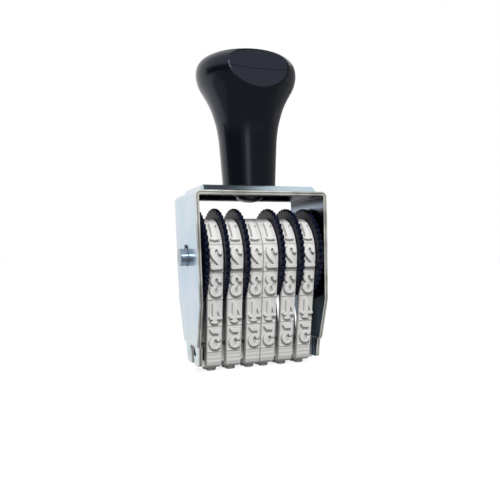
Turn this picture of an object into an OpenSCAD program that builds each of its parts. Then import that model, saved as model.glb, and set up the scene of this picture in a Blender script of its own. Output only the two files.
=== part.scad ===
// Hand numbering machine with six setting wheels and six endless number bands.
// Millimetres. Z = 0 is the printing face, X runs along the axle, the front is -Y.

/* [Frame] */
// Outside width over the two legs
frame_w = 27.5; // [27.2:0.1:29]
// How far the frame reaches past the digits on the wheels, front and back
frame_over = 0.2; // [0:0.05:1]
// Height of the flat rim of the top above the printing face
frame_h = 36.0; // [35.8:0.1:40]
// Thickness of the steel sheet
sheet_t = 0.8; // [0.6:0.1:1]
// Inside radius of the two top bends
bend_r = 0.3; // [0.2:0.05:0.35]
// Height at which the legs start to narrow
taper_z = 14.2; // [12:0.1:16]
// Height of the joggle that sets the leg ends inwards
joggle_z = 5.5; // [5.2:0.1:6.5]
// How far the leg ends are set inwards
joggle_in = 0.4; // [0.2:0.05:0.6]
// Depth of a leg at its joggle
joggle_d = 10.9; // [10:0.1:12]
// Depth of a leg at its end
leg_end_d = 9.2; // [8:0.1:10]
// Gap between the leg ends and the paper
leg_end_z = 1.4; // [1:0.1:1.8]
// Radius of the corners of the leg ends
leg_corner_r = 0.8; // [0.4:0.1:1.2]

/* [Raised panel] */
// Height of the raised panel above the rim
panel_rise = 1.2; // [0.8:0.1:1.6]
// Width of the flat rim in front of and behind the panel
rim_d = 1.65; // [1.2:0.05:2.2]
// Width of the flat rim beside the panel
rim_w = 1.2; // [1.2:0.05:2]
// Run of the panel's sloping walls in front and behind
panel_slope = 0.9; // [0.5:0.1:1.2]
// Run of the panel's longer slopes at its two ends
end_slope = 1.1; // [0.9:0.1:2.5]

/* [Axle] */
// Diameter of the axle
axle_d = 3.5; // [3:0.1:4]
// Height of the axle above the printing face
axle_z = 23.3; // [23:0.1:24]
// Length of axle that stands out of each leg
axle_out = 1.55; // [1.3:0.05:2.5]
// Diameter at the bottom of a clip groove
groove_d = 2.7; // [2.4:0.1:2.8]
// Outside diameter of a retaining clip
clip_d = 3.8; // [3.7:0.1:4.4]
// Height of the pointed tip on top of a retaining clip
clip_tip = 0.65; // [0.4:0.05:0.9]
// Thickness of a retaining clip
clip_t = 0.3; // [0.2:0.05:0.5]
// Width of the mouth of a retaining clip
clip_mouth = 2.2; // [1.8:0.1:2.4]
// Outside diameter of a spacer washer
spacer_d = 7; // [6:0.5:10]

/* [Setting wheels] */
// Diameter over the knurled rim
rim_dia = 19.5; // [18.8:0.1:20]
// Thickness of the knurled disc
disc_t = 0.8; // [0.6:0.05:0.85]
// Number of grooves in the rim
rim_teeth = 45; // [36:1:54]
// Depth of a groove in the rim
tooth_depth = 0.6; // [0.3:0.05:0.7]
// Radius of a groove in the rim
tooth_r = 0.4; // [0.3:0.02:0.44]
// Diameter of the drum that drives the band
drum_d = 12.9; // [12.4:0.1:13.2]

/* [Number bands] */
// Width of a band
band_w = 3.2; // [3:0.05:3.25]
// Thickness of the plain band
band_t = 1.1; // [0.9:0.05:1.3]
// Height of the digits above the plain band
relief = 0.75; // [0.5:0.05:0.8]
// Distance from one digit to the next
digit_pitch = 5.45; // [5.3:0.05:5.6]
// Distance from the printing digit to its two neighbours
bottom_pitch = 9.5; // [9.3:0.05:9.8]
// Height of a digit
digit_h = 4.2; // [4:0.1:4.8]
// Width of a digit
digit_w = 2.4; // [2.3:0.1:2.6]
// Width of a digit's strokes
stroke_w = 0.8; // [0.6:0.05:0.85]

/* [Lower bridge] */
// Depth of the bridge under the bands
bridge_d = 5.5; // [5.3:0.1:6]
// Height of the bridge's top edge above the printing face
bridge_top = 5.3; // [5.1:0.1:5.6]
// Height of the lower edge of the cheeks beside the outer bands
cheek_z = 1.1; // [0.9:0.1:1.6]
// Outside radius of the bridge's two lower edges
bridge_r = 0.5; // [0.3:0.05:0.7]
// Thickness of the bridge's sheet
bridge_t = 0.8; // [0.6:0.1:1]
// Width of the tab at each end of the bridge
tab_w = 2.3; // [2:0.1:3.4]
// Height of the slot in each leg above the leg's end
slot_h = 3.7; // [3.2:0.1:4]

/* [Handle] */
// Height over all
total_h = 63.5; // [62:0.1:68]
// Height of the cap above its seam with the knob
cap_h = 4.2; // [3.6:0.1:5]
// Largest diameter of the handle
knob_d = 20.2; // [18:0.1:22]
// Distance of the knob's flat front from the axis, at the seam
facet_y = 8.05; // [7:0.05:8.5]
// Lean of the flat front from the vertical
facet_lean = 8; // [0:0.5:15]
// Diameter of the handle where it meets the frame
stem_d = 10.9; // [10:0.1:11.5]
// Diameter of the stem where the knob starts to flare
waist_d = 11.8; // [11:0.1:12.6]
// Height above the frame at which the knob starts to flare
waist_h = 8; // [6:0.5:10]
// Wall of the hollow knob and its cap
shell_t = 1.6; // [1.2:0.1:2]
// Depth of the cap's spigot inside the knob
spigot_h = 1.6; // [1:0.1:2.5]

/* [Handle screw] */
// Diameter of the screw's shank
screw_d = 3; // [2.5:0.1:3.5]
// Diameter of the screw's head
head_d = 5.6; // [5:0.1:6.4]
// Height of the screw's head
head_h = 1.6; // [1.3:0.1:1.7]
// Length of the shank under the head
screw_len = 12; // [10:0.5:16]
// Outside diameter of the washer under the head
washer_d = 7; // [6.5:0.1:8]
// Thickness of the washer under the head
washer_t = 0.5; // [0.4:0.1:0.6]

/* [Clearances] */
// Gap beside a band and beside a wheel
side_gap = 0.06; // [0.04:0.01:0.07]
// Gap between a drum and its band
drum_gap = 0.15; // [0.1:0.01:0.3]
// Radial gap round a shaft, a screw or a tab
fit_gap = 0.03; // [0.02:0.01:0.06]

/* [Hidden] */
$fn = 72;

zinc = [0.78, 0.82, 0.85];
steel = [0.55, 0.56, 0.58];
black = [0.10, 0.10, 0.11];
rubber = [0.88, 0.87, 0.85];

// Frame
leg_x = frame_w / 2;                       // outer face of a leg
leg_in = leg_x - sheet_t;                  // inner face of a leg
leg_end_x = leg_x - joggle_in;             // outer face of a leg's end
outer_bend = bend_r + sheet_t;
panel_z = frame_h + panel_rise;            // top of the raised panel
joggle_run = 0.6;                          // height over which the joggle slopes
tab_recess = 0.15;                         // from a leg's outer face to the tab's end

// Clips
tip_w = 1.4;                               // width of the tip at its foot
tip_foot = 0.2;                            // how deep the tip's foot sits in the ring

// Wheels: one pitch holds a band, a disc and the three gaps round them
wheel_pitch = band_w + disc_t + 2 * side_gap;
drum_w = band_w + side_gap;
stack_x = 3 * wheel_pitch - side_gap / 2;  // outer face of the outermost disc
spacer_t = leg_in - stack_x - 2 * side_gap;

// Bands: the inner loop runs round the drum and round the bridge's lower edges
loop_r = drum_d / 2 + drum_gap;            // inside radius of a band on its drum
base_r = loop_r + band_t;                  // outside radius of the plain band there
corner_in = bridge_r + fit_gap;            // inside radius of a band at the bridge
corner_out = corner_in + band_t;
flat_y = bridge_d / 2 - bridge_r;          // centre of a corner, from the middle
bed_z = relief + band_t + fit_gap;         // lower face of the bridge
frame_d = 2 * (base_r + relief + frame_over);
corner_z = relief + corner_out;            // height of the corners' centres
rise = axle_z - corner_z;
reach = sqrt(flat_y * flat_y + rise * rise);
lean = asin((base_r - corner_out) / reach) - atan(flat_y / rise);
strand = sqrt(reach * reach - pow(base_r - corner_out, 2));
corner_len = corner_out * (90 - lean) * PI / 180;
hook = 30;                                 // how far the bows of 2, 3 and 5 run past level
tail = 20;                                 // how far the bow of a 6 stops above level
cut = 0.4;                                 // how far cutters run past a face

// Handle
handle_z = panel_z;
seam_z = total_h - cap_h;
flare_h = seam_z - handle_z - waist_h;
hollow_z = handle_z + screw_len + 2;       // floor of the hollow in the knob
spigot_gap = 0.1;                          // round the cap's spigot
spigot_t = 1;                              // wall of the spigot
flare_late = 2.6;                          // more lets the knob flare later
flare_soft = 0.9;                          // less lets it round off sooner
cap_side = 3.3;                            // roundness of the cap's shoulder
cap_top = 2.6;                             // roundness of the cap's crown
pilot_over = 1;                            // depth of the hole past the screw's tip
seat_z = panel_z - sheet_t - washer_t;     // underside of the washer
drive_w = 0.7;                             // width of the slot in the screw's head
drive_d = 0.6;                             // depth of that slot

// Place on the outside of the plain band, s along it from the middle of the
// printing face and up the front: [y, z, turn about X]
function front_place(s) =
    let (s1 = flat_y, s2 = s1 + corner_len, s3 = s2 + strand)
    s <= s1 ? [-s, relief, 180] :
    s <= s2 ? let (a = (s - s1) / corner_out * 180 / PI)
        [-flat_y - corner_out * sin(a), corner_z - corner_out * cos(a), 180 - a] :
    s <= s3 ? let (a = 90 + lean, d = s - s2)
        [-flat_y - corner_out * sin(a) + d * cos(a), corner_z + corner_out * cos(a) + d * sin(a), a] :
    let (a = 90 + lean - (s - s3) / base_r * 180 / PI)
        [-base_r * sin(a), axle_z + base_r * cos(a), a];
function place(s) =
    s >= 0 ? front_place(s) : let (p = front_place(-s)) [-p[0], p[1], -p[2]];

// A flat outline in Y and Z, extruded along X between two places
module slab_x(x0, x1) {
    translate([x0, 0, 0]) rotate([90, 0, 90]) linear_extrude(x1 - x0) children();
}

// A flat outline in X and Z, extruded to both sides of Y = 0
module slab_y(depth) {
    translate([0, depth / 2, 0]) rotate([90, 0, 0]) linear_extrude(depth) children();
}

// A round bar along X
module bar_x(x0, x1, d) {
    translate([x0, 0, axle_z]) rotate([0, 90, 0]) cylinder(h = x1 - x0, d = d);
}

// One of the two ends, side = -1 left, 1 right
module at_side(side) {
    if (side < 0) mirror([1, 0, 0]) children();
    else children();
}

// ---------------------------------------------------------------- frame

// Half of the bent section, from the middle of the top to the end of a leg
module half_section() {
    above = joggle_z + joggle_run / 2;
    below = joggle_z - joggle_run / 2;
    translate([0, frame_h - sheet_t]) square([leg_x - outer_bend, sheet_t]);
    translate([leg_x - outer_bend, frame_h - outer_bend]) intersection() {
        difference() {
            circle(outer_bend);
            circle(bend_r);
        }
        square(outer_bend);
    }
    translate([leg_in, above]) square([sheet_t, frame_h - outer_bend - above]);
    polygon([[leg_in, above], [leg_x, above], [leg_end_x, below], [leg_end_x - sheet_t, below]]);
    translate([leg_end_x - sheet_t, leg_end_z]) square([sheet_t, below - leg_end_z]);
}

// Side view of the frame, narrowing towards the leg ends
module side_outline() {
    end_y = leg_end_d / 2;
    top = panel_z + cut;
    polygon([[-frame_d / 2, top], [-frame_d / 2, taper_z], [-joggle_d / 2, joggle_z],
        [-end_y, leg_end_z + leg_corner_r], [-end_y + leg_corner_r, leg_end_z],
        [end_y - leg_corner_r, leg_end_z], [end_y, leg_end_z + leg_corner_r],
        [joggle_d / 2, joggle_z], [frame_d / 2, taper_z], [frame_d / 2, top]]);
    for (s = [-1, 1])
        translate([s * (end_y - leg_corner_r), leg_end_z + leg_corner_r]) circle(leg_corner_r);
}

// Section of the raised panel: upright to the foot, then sloping in to the top
module panel_section(half, slope, foot, top) {
    polygon([[-half, foot - cut], [half, foot - cut], [half, foot],
        [half - slope, top], [-half + slope, top], [-half, foot]]);
}

// How far the inner side of a slope stands in from its outer side at the foot
function slope_in(slope) = sheet_t * tan(atan(panel_rise / slope) / 2);

// Block of the raised panel, lowered by depth for the hollow below it
module panel_block(depth) {
    inner = depth / sheet_t;
    foot = frame_h - depth;
    intersection() {
        slab_y(frame_d)
            panel_section(leg_x - rim_w - inner * slope_in(end_slope), end_slope,
                foot, foot + panel_rise);
        slab_x(-leg_x, leg_x)
            panel_section(frame_d / 2 - rim_d - inner * slope_in(panel_slope), panel_slope,
                foot, foot + panel_rise);
    }
}

module frame() {
    under = frame_h - sheet_t;
    color(zinc) difference() {
        union() {
            intersection() {
                union() {
                    slab_y(frame_d) half_section();
                    mirror([1, 0, 0]) slab_y(frame_d) half_section();
                }
                slab_x(-leg_x - cut, leg_x + cut) side_outline();
            }
            panel_block(0);
        }
        panel_block(sheet_t);
        translate([0, 0, under])
            cylinder(h = panel_rise + sheet_t + cut, d = screw_d + 2 * fit_gap);
        bar_x(-leg_x - cut, leg_x + cut, axle_d + 2 * fit_gap);
        for (s = [-1, 1]) at_side(s)
            translate([leg_end_x - sheet_t - cut, -tab_w / 2 - fit_gap, leg_end_z - cut])
                cube([sheet_t + 2 * cut, tab_w + 2 * fit_gap, slot_h + cut]);
    }
}

// --------------------------------------------------------------- bridge

// Channel open upwards, with a cheek beside the outer band and a tab at each end
module bridge() {
    end_x = leg_end_x - sheet_t - fit_gap;
    wall_h = bridge_top - bed_z;
    cheek_x = wheel_x(1) + band_w + side_gap;
    tab_top = leg_end_z + slot_h - fit_gap;
    color(zinc) union() {
        difference() {
            slab_x(-end_x, end_x) union() {
                translate([-bridge_d / 2, bed_z + bridge_r]) square([bridge_d, wall_h - bridge_r]);
                translate([-flat_y, bed_z]) square([2 * flat_y, wall_h]);
                for (s = [-1, 1]) translate([s * flat_y, bed_z + bridge_r]) circle(bridge_r);
            }
            translate([-end_x - cut, -bridge_d / 2 + bridge_t, bed_z + bridge_t])
                cube([2 * (end_x + cut), bridge_d - 2 * bridge_t, wall_h]);
        }
        for (s = [-1, 1]) at_side(s) {
            translate([cheek_x, -bridge_d / 2, cheek_z])
                cube([end_x - cheek_x, bridge_d, bridge_top - cheek_z]);
            translate([end_x - cut, -tab_w / 2, bed_z])
                cube([leg_end_x - tab_recess - end_x + cut, tab_w, tab_top - bed_z]);
        }
    }
}

// ------------------------------------------------------- axle and clips

module axle() {
    end_x = leg_x + axle_out;
    color(steel) difference() {
        bar_x(-end_x, end_x, axle_d);
        for (s = [-1, 1]) at_side(s) difference() {
            bar_x(leg_x, leg_x + clip_t + 2 * fit_gap, axle_d + cut);
            bar_x(leg_x - cut, leg_x + clip_t + cut, groove_d);
        }
    }
}

// Open ring in the axle's groove, with a pointed tip on top and its mouth below
module clip(side) {
    foot = clip_d / 2 - tip_foot;
    color(steel) at_side(side)
        translate([leg_x + fit_gap, 0, axle_z]) rotate([90, 0, 90])
        linear_extrude(clip_t) difference() {
            union() {
                circle(clip_d / 2);
                polygon([[-tip_w / 2, foot], [tip_w / 2, foot], [0, clip_d / 2 + clip_tip]]);
            }
            circle(groove_d / 2 + fit_gap);
            translate([-clip_mouth / 2, -clip_d]) square([clip_mouth, clip_d]);
        }
}

module spacer(side) {
    color(steel) at_side(side) difference() {
        bar_x(stack_x + side_gap, stack_x + side_gap + spacer_t, spacer_d);
        bar_x(stack_x, leg_in, axle_d + 2 * fit_gap);
    }
}

// --------------------------------------------------------------- wheels

// Inner end of wheel i, counted from the left: 1 to 3 have the disc on the
// left of their band, 4 to 6 on the right
function wheel_side(i) = i <= 3 ? -1 : 1;
function wheel_x(i) = side_gap / 2 + (i <= 3 ? 3 - i : i - 4) * wheel_pitch;

module knurled_disc() {
    difference() {
        circle(rim_dia / 2);
        for (k = [0 : rim_teeth - 1]) rotate(k * 360 / rim_teeth)
            translate([rim_dia / 2 + tooth_r - tooth_depth, 0]) circle(tooth_r, $fn = 24);
    }
}

module wheel(i) {
    x0 = wheel_x(i);
    color(black) at_side(wheel_side(i)) difference() {
        union() {
            bar_x(x0, x0 + drum_w, drum_d);
            translate([x0 + drum_w, 0, axle_z]) rotate([90, 0, 90])
                linear_extrude(disc_t) knurled_disc();
        }
        bar_x(x0 - cut, x0 + drum_w + disc_t + cut, axle_d + 2 * fit_gap);
    }
}

// ---------------------------------------------------------------- bands

// Loop outline, grown by g from the inner face of the band
module loop_outline(g) {
    r0 = loop_r + g;
    r1 = corner_in + g;
    a = 90 + lean;
    c = [-sin(a), cos(a)];
    right = [[r0 * -c[0], axle_z + r0 * c[1]], [flat_y - r1 * c[0], corner_z + r1 * c[1]],
        [flat_y, corner_z - r1]];
    union() {
        translate([0, axle_z]) circle(r0);
        for (s = [-1, 1]) translate([s * flat_y, corner_z]) circle(r1);
        polygon([[0, axle_z], right[0], right[1], [flat_y, corner_z], right[2],
            [-right[2][0], right[2][1]], [-flat_y, corner_z],
            [-right[1][0], right[1][1]], [-right[0][0], right[0][1]]]);
    }
}

// Straight stroke from p to q with round ends
module stroke(p, q) {
    d = q - p;
    translate(p) rotate(atan2(d[1], d[0])) union() {
        translate([0, -stroke_w / 2]) square([norm(d), stroke_w]);
        circle(stroke_w / 2, $fn = 24);
        translate([norm(d), 0]) circle(stroke_w / 2, $fn = 24);
    }
}

// Curved stroke round c, from angle a0 through sweep degrees, at most 270
module bow(c, r, a0, sweep) {
    far = 3 * r;
    translate(c) {
        intersection() {
            difference() {
                circle(r + stroke_w / 2);
                circle(r - stroke_w / 2);
            }
            polygon([[0, 0], for (k = [0 : 3]) far * [cos(a0 + sweep * k / 3), sin(a0 + sweep * k / 3)]]);
        }
        for (a = [a0, a0 + sweep]) translate(r * [cos(a), sin(a)]) circle(stroke_w / 2, $fn = 24);
    }
}

module ring(c, r) {
    translate(c) difference() {
        circle(r + stroke_w / 2);
        circle(r - stroke_w / 2);
    }
}

// Upright digit n, centred; w and h are the half sizes of its middle line
module digit(n) {
    w = (digit_w - stroke_w) / 2;
    h = (digit_h - stroke_w) / 2;
    top = h - w;
    if (n == 0) {
        bow([0, top], w, 0, 180);
        bow([0, -top], w, 180, 180);
        for (s = [-1, 1]) stroke([s * w, -top], [s * w, top]);
    }
    if (n == 1) {
        stroke([w / 3, -h], [w / 3, h]);
        stroke([w / 3, h], [-w, h - w]);
    }
    if (n == 2) {
        bow([0, top], w, -hook, 160 + hook);
        stroke([w * cos(hook), top - w * sin(hook)], [-w, -h]);
        stroke([-w, -h], [w, -h]);
    }
    if (n == 3) {
        bow([0, top], w, -90, 270 - hook);
        bow([0, -top], w, hook - 180, 270 - hook);
        stroke([-w / 4, 0], [0, 0]);
    }
    if (n == 4) {
        stroke([w / 3, -h], [w / 3, h]);
        stroke([w / 3, h], [-w, -h / 3]);
        stroke([-w, -h / 3], [w, -h / 3]);
    }
    if (n == 5) {
        stroke([-0.8 * w, h], [0.9 * w, h]);
        stroke([-0.8 * w, h], [-0.8 * w, w - top + w * 0.1]);
        bow([0, -top], w, hook - 180, 270);
    }
    if (n == 6 || n == 9) rotate(n == 6 ? 0 : 180) {
        ring([0, -top], w);
        bow([0, top], w, tail, 180 - tail);
        stroke([-w, -top], [-w, top]);
    }
    if (n == 7) {
        stroke([-w, h], [w, h]);
        stroke([w, h], [-w / 3, -h]);
    }
    if (n == 8) {
        ring([0, -top], w);
        ring([0, top], w);
    }
}

// Digit n stands out of the band at s, left and right exchanged for printing
module raised_digit(n, s) {
    sunk = band_t / 2;
    p = place(s);
    translate([0, p[0], p[1]]) rotate([p[2], 0, 0]) translate([0, 0, -sunk])
        linear_extrude(relief + sunk) mirror([1, 0]) digit(n);
}

module band(i) {
    mid = wheel_side(i) * (wheel_x(i) + band_w / 2);
    color(rubber) translate([mid, 0, 0]) union() {
        difference() {
            slab_x(-band_w / 2, band_w / 2) loop_outline(band_t);
            slab_x(-band_w / 2 - cut, band_w / 2 + cut) loop_outline(0);
        }
        raised_digit(6, 0);
        for (k = [0 : 4]) {
            raised_digit(5 - k, bottom_pitch + k * digit_pitch);
            if (k < 4) raised_digit((7 + k) % 10, -bottom_pitch - k * digit_pitch);
        }
    }
}

// --------------------------------------------------------------- handle

// Radius of the handle at height z, between its foot and the seam
function knob_r(z) = let (t = max(0, min(1, (z - handle_z - waist_h) / flare_h)))
    waist_d / 2 + (knob_d - waist_d) / 2 * pow(sin(90 * pow(t, flare_late)), flare_soft);

// Side of the handle from height z0 to the seam, set in by inset
function knob_curve(inset, z0) =
    [for (k = [0 : 14]) let (z = z0 + (seam_z - z0) * k / 14) [knob_r(z) - inset, z]];

// Crown of the cap from the seam to the top, set in by inset
function cap_curve(inset) = [for (a = [0 : 5 : 90])
    [(knob_d / 2 - inset) * pow(max(cos(a), 0), 2 / cap_side),
        seam_z + (cap_h - inset) * pow(sin(a), 2 / cap_top)]];

// All that lies in front of the knob's flat front, or of a plane behind it
module facet_cut(inset) {
    translate([0, 0, seam_z]) rotate([-facet_lean, 0, 0])
        translate([-knob_d, inset - facet_y - knob_d, -knob_d]) cube([2 * knob_d, knob_d, 2 * knob_d]);
}

module handle_body() {
    pilot_h = seat_z + screw_len + pilot_over - handle_z;
    color(black) difference() {
        rotate_extrude() polygon(concat([[0, handle_z], [stem_d / 2, handle_z]],
            knob_curve(0, handle_z + waist_h), [[0, seam_z]]));
        facet_cut(0);
        difference() {
            rotate_extrude() polygon(concat([[0, hollow_z]], knob_curve(shell_t, hollow_z),
                [[knob_d / 2 - shell_t, seam_z + cut], [0, seam_z + cut]]));
            facet_cut(shell_t);
        }
        translate([0, 0, handle_z - cut]) cylinder(h = pilot_h + cut, d = screw_d + 2 * fit_gap);
    }
}

// Hollow crown; its spigot drops into the knob and runs up into the shell
module handle_cap() {
    spigot_r = knob_r(seam_z - spigot_h) - shell_t - spigot_gap;
    color(black) difference() {
        union() {
            difference() {
                rotate_extrude() polygon(concat([[0, seam_z]], cap_curve(0)));
                difference() {
                    rotate_extrude() polygon(concat([[0, seam_z - cut],
                        [knob_d / 2 - shell_t, seam_z - cut]], cap_curve(shell_t)));
                    facet_cut(shell_t);
                }
            }
            difference() {
                translate([0, 0, seam_z - spigot_h]) cylinder(h = spigot_h + cap_h / 2, r = spigot_r);
                translate([0, 0, seam_z - spigot_h - cut])
                    cylinder(h = spigot_h + cap_h + cut, r = spigot_r - spigot_t);
                facet_cut(shell_t + spigot_gap);
            }
        }
        facet_cut(0);
    }
}

// Slotted pan head below the washer, its lower edge rounded in two steps
module handle_screw() {
    r = head_d / 2;
    color(steel) difference() {
        union() {
            translate([0, 0, seat_z]) cylinder(h = screw_len, d = screw_d);
            translate([0, 0, seat_z - head_h]) rotate_extrude()
                polygon([[0, 0], [0.7 * r, 0], [0.9 * r, 0.2 * head_h],
                    [r, 0.5 * head_h], [r, head_h], [0, head_h]]);
        }
        translate([-r - cut, -drive_w / 2, seat_z - head_h - cut])
            cube([head_d + 2 * cut, drive_w, drive_d + cut]);
    }
}

module screw_washer() {
    color(zinc) translate([0, 0, seat_z]) difference() {
        cylinder(h = washer_t, d = washer_d);
        translate([0, 0, -cut]) cylinder(h = washer_t + 2 * cut, d = screw_d + 2 * fit_gap);
    }
}

frame();
bridge();
axle();
clip(-1);  // clip_left
clip(1);  // clip_right
spacer(-1);  // spacer_left
spacer(1);  // spacer_right
wheel(1);  // wheel_1
wheel(2);  // wheel_2
wheel(3);  // wheel_3
wheel(4);  // wheel_4
wheel(5);  // wheel_5
wheel(6);  // wheel_6
band(1);  // band_1
band(2);  // band_2
band(3);  // band_3
band(4);  // band_4
band(5);  // band_5
band(6);  // band_6
handle_body();
handle_cap();
handle_screw();
screw_washer();
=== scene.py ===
"""Looks of a hand numbering machine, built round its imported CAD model.

Pieces are drawn in millimetres, Z = 0 at the printing face, X along the axle,
the front at -Y, and are scaled to metres when they become objects.
"""

import math

import bmesh
import bpy
import numpy as np
from mathutils import Matrix, Vector


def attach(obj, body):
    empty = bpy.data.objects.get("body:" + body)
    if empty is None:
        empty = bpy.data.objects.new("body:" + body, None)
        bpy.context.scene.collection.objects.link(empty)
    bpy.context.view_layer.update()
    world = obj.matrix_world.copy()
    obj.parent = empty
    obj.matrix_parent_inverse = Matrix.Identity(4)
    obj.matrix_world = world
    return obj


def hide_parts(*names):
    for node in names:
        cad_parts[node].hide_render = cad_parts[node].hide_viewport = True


bl_info = {
    "name": "Numbering machine",
    "version": (1, 0, 0),
    "blender": (4, 5, 0),
    "location": "View3D > Sidebar > Numbering machine",
    "description": "Builds the looks of a hand numbering machine on its CAD model",
    "category": "Object",
}

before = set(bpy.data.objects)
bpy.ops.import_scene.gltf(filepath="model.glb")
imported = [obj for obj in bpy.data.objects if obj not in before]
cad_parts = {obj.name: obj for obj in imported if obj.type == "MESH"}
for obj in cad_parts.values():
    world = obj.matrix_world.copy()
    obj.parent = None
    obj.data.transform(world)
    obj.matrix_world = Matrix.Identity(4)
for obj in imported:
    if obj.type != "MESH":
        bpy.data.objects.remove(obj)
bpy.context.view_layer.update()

MM = 0.001
BODY = "body"

# Sizes shared with the CAD model, in millimetres

# Sheet frame: outer half width of the legs, depth, bends, pressed panel and leg ends
FRAME_H = 36.0
LEG_X = 13.75
FRAME_D = 17.3
SHEET_T = 0.8
OUTER_BEND = 1.1
PANEL_RISE = 1.2
PANEL_Z = FRAME_H + PANEL_RISE
PANEL_X = 12.55
PANEL_Y = 7.0
PANEL_END_RUN = 1.1
PANEL_FRONT_RUN = 0.9
TAPER_Z = 14.2
LEG_END_Z = 1.4
LEG_END_HALF = 4.6
JOGGLE_Z = 5.5
JOGGLE_IN = 0.4
JOGGLE_RUN = 0.6
JOGGLE_HALF = 5.45

# Axle, and the wheels that turn on it. Their knurling starts and is full at the TOOTH radii
AXLE_Z = 23.3
AXLE_R = 1.75
AXLE_END = 15.3
GROOVE_R = 1.35
GROOVE = (LEG_X, 14.11)
BORE_R = 1.78
SIDE_GAP = 0.06
WHEEL_PITCH = 4.12
DISC_T = 0.8
DISC_R = 9.75
DRUM_R = 6.45
TOOTH_START = DISC_R - 1.5
TOOTH_FULL = DISC_R - 0.7

# Bands: BASE_R is the plain outside round the drum, CORNER_R the one at the bridge
BAND_W = 3.2
BAND_T = 1.1
RELIEF = 0.75
BASE_R = 7.7
CORNER_R = 1.63
CORNER_Z = RELIEF + CORNER_R
FLAT_Y = 2.25
DIGIT_PITCH = 5.45
BOTTOM_PITCH = 9.5

# Handle. Its front is flat from FACET_START up, and its two parts meet on a flat seat
SEAM_Z = 59.3
SEAM_GROOVE = 0.045
SEAM_GAP = 0.005
TOTAL_H = 63.5
KNOB_R = 10.1
SEAT_R = 7.6
FACET_START = 50
FACET_Y = 8.05
FACET_LEAN = math.radians(8)
WASHER_T = 0.5


# ------ settings ------


class StampSizes(bpy.types.PropertyGroup):
    rim_teeth: bpy.props.IntProperty(
        name="Rim teeth", description="Teeth round a setting wheel", default=45, min=12)
    tooth_depth: bpy.props.FloatProperty(
        name="Tooth depth", description="Depth of the knurling on the wheels",
        default=0.6 * MM, unit="LENGTH", precision=5)
    edge_round: bpy.props.FloatProperty(
        name="Sheared edge", description="Rounding of the sheet's cut edges",
        default=0.07 * MM, unit="LENGTH", precision=5)
    digit_wall: bpy.props.FloatProperty(
        name="Digit wall", description="Width over which a digit's side slopes to the band",
        default=0.13 * MM, unit="LENGTH", precision=5)
    facet_edge: bpy.props.FloatProperty(
        name="Facet edge", description="Rounding between the knob and its flat front",
        default=0.16 * MM, unit="LENGTH", precision=5)
    band_grid: bpy.props.FloatProperty(
        name="Band grid", description="Spacing of the points that carry the digits",
        default=0.08 * MM, unit="LENGTH", precision=5)


def hex_rgb(code):
    """An sRGB hex colour as linear red, green and blue."""
    parts = [int(code[i:i + 2], 16) / 255 for i in (1, 3, 5)]
    return tuple(c / 12.92 if c <= 0.04045 else ((c + 0.055) / 1.055) ** 2.4 for c in parts)


def colour_setting(label, text, code):
    return bpy.props.FloatVectorProperty(
        name=label, description=text, subtype="COLOR", size=3, min=0, max=1,
        default=hex_rgb(code))


class StampColours(bpy.types.PropertyGroup):
    zinc: colour_setting("Zinc", "Bright zinc plating", "#BCD2DE")
    zinc_warm: colour_setting("Zinc, warm", "Where the passivated layer turns greyer", "#C9D6E0")
    # The next three colours paint light on the inner side of the sheet, in this order: a paler
    # painted reflection above the discs, a dark painted shade that is no ink stain, and a less dark
    # painted shade near the leg ends.
    inside: colour_setting("Inside", "Inner side of the legs above the discs", "#8797A8")
    inside_shade: colour_setting("Inked", "Inner side of the sheet, stained by ink", "#20262F")
    inside_shade_low: colour_setting("Inked, low", "Inner side near the leg ends", "#465C70")
    sheared: colour_setting("Sheared steel", "Cut edge of the sheet", "#C8C8C1")
    steel: colour_setting("Steel", "Axle and spacers", "#94A2AE")
    # Painted shade: this dark steel colour darkens the clip tips, the bridge's tab ends in the slots,
    # and the screw and washer under the top.
    dark_shade: colour_setting("Oiled steel", "Retaining clips", "#4A4C50")
    handle: colour_setting("Handle", "Polished black plastic", "#04050B")
    wheel: colour_setting("Wheels", "Moulded black plastic", "#0B0F24")
    rubber: colour_setting("Rubber", "Number bands", "#DFDEDC")
    # Painted shade: the band between the digits is a little darker than the digits' tops
    rubber_shade: colour_setting("Rubber, low", "Number bands between the digits", "#D4D3D1")
    floor: colour_setting("Floor", "Studio floor", "#808080")


def sizes():
    return bpy.context.scene.stamp_sizes


def colours():
    return bpy.context.scene.stamp_colours


# ------ materials ------


def add_node(tree, kind, inputs=None, stops=(), **settings):
    """Adds a node, sets its settings and colour stops, and sets or links its inputs."""
    node = tree.nodes.new(kind)
    for key, value in settings.items():
        setattr(node, key, value)
    for key, value in (inputs or {}).items():
        if isinstance(value, bpy.types.NodeSocket):
            tree.links.new(value, node.inputs[key])
        else:
            node.inputs[key].default_value = value
    while stops and len(node.color_ramp.elements) < len(stops):
        node.color_ramp.elements.new(0.5)
    for k, (at, colour) in enumerate(stops):
        node.color_ramp.elements[k].position = at
        node.color_ramp.elements[k].color = colour
    return node


def rgba(colour, share=1.0):
    return (*(c * share for c in colour), 1.0)


def tint(code):
    return rgba(hex_rgb(code))


def new_material(name, **values):
    """A Principled material. Returns it, its tree and its shader node."""
    old = bpy.data.materials.get(name)
    if old is not None:
        return old, None, None
    mat = bpy.data.materials.new(name)
    mat.use_nodes = True
    tree = mat.node_tree
    shader = tree.nodes["Principled BSDF"]
    for key, value in values.items():
        shader.inputs[key.replace("_", " ")].default_value = value
    return mat, tree, shader


def unevenness(tree, spacing, detail=2.0, stretch=(1, 1, 1)):
    """An uneven pattern. Spacing is in millimetres from feature to feature."""
    place = add_node(tree, "ShaderNodeTexCoord").outputs["Object"]
    stretched = add_node(tree, "ShaderNodeMapping", {"Vector": place, "Scale": stretch})
    return add_node(tree, "ShaderNodeTexNoise", {
        "Vector": stretched.outputs["Vector"], "Scale": 1 / (spacing * MM),
        "Detail": detail}).outputs["Fac"]


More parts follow.
